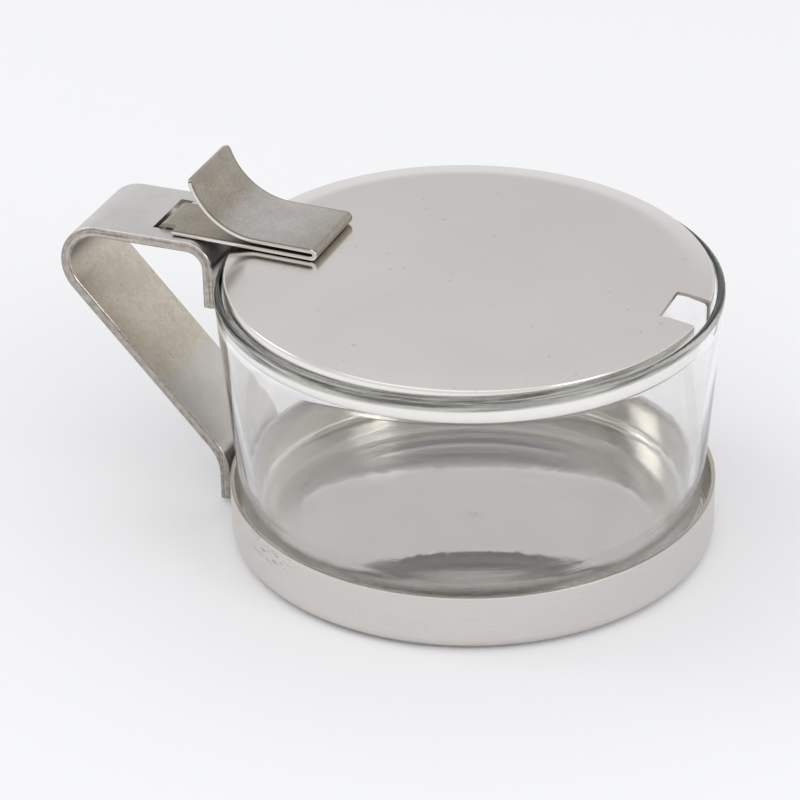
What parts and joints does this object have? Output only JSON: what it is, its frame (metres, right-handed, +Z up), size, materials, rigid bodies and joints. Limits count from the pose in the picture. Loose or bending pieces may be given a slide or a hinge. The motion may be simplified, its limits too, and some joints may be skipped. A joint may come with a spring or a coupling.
{
  "type": "glass serving bowl with hinged lid",
  "caption": "Clear glass serving bowl in a shallow steel tray, with a bent strap handle and a hinged lid that a folded thumb lever lifts.",
  "frame": {"origin": "centre of the tray's underside, on the table", "axes": "+X from the handle across the bowl, +Y along the hinge, +Z up"},
  "size_m": [0.1339, 0.1, 0.0717],
  "materials": {
    "tray_steel": "satin, polished floor",
    "strap_steel": "matte, worn edges",
    "clear_glass": "clear, polished",
    "lid_steel": "polished",
    "lever_steel": "satin",
    "weld_steel": "dull"
  },
  "bodies": {
    "holder": {"tray": "tray_steel", "handle": "strap_steel", "handle_welds": "weld_steel", "glass_bowl": "clear_glass"},
    "lid": {"lid": "lid_steel", "thumb_lever": "lever_steel", "lever_welds": "weld_steel"}
  },
  "joints": [
    {"name": "lid_hinge", "type": "hinge", "parent": "holder", "child": "lid", "pos_m": [-0.062, 0, 0.0576], "axis": [0, -1, 0], "range_deg": [0, 90]}
  ]
}
